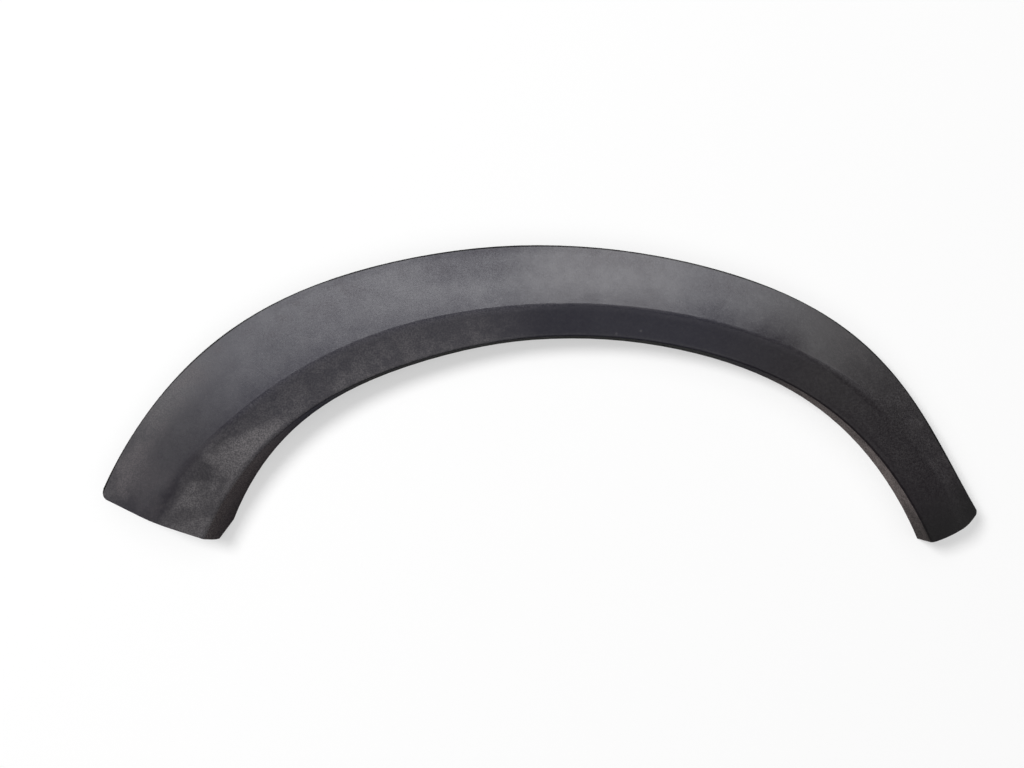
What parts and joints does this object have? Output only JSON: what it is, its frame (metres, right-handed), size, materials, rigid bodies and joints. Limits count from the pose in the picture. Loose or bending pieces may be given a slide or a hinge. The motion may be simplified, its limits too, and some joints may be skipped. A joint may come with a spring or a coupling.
{
  "type": "wheel arch trim",
  "caption": "Curved black plastic wheel arch trim: a creased show face with one wide and one narrow leg, a flange along the wheel opening, and clip towers on its back.",
  "frame": {"origin": "middle of the space the trim takes up, on the floor it lies on", "axes": "+X along the car towards the narrow leg, +Y up the car towards the crown, +Z out of the show face"},
  "size_m": [0.8616, 0.2932, 0.05],
  "materials": {
    "grained_plastic": "fine grained, matt black"
  },
  "bodies": {
    "root": {"arch_trim": "grained_plastic"}
  },
  "joints": []
}
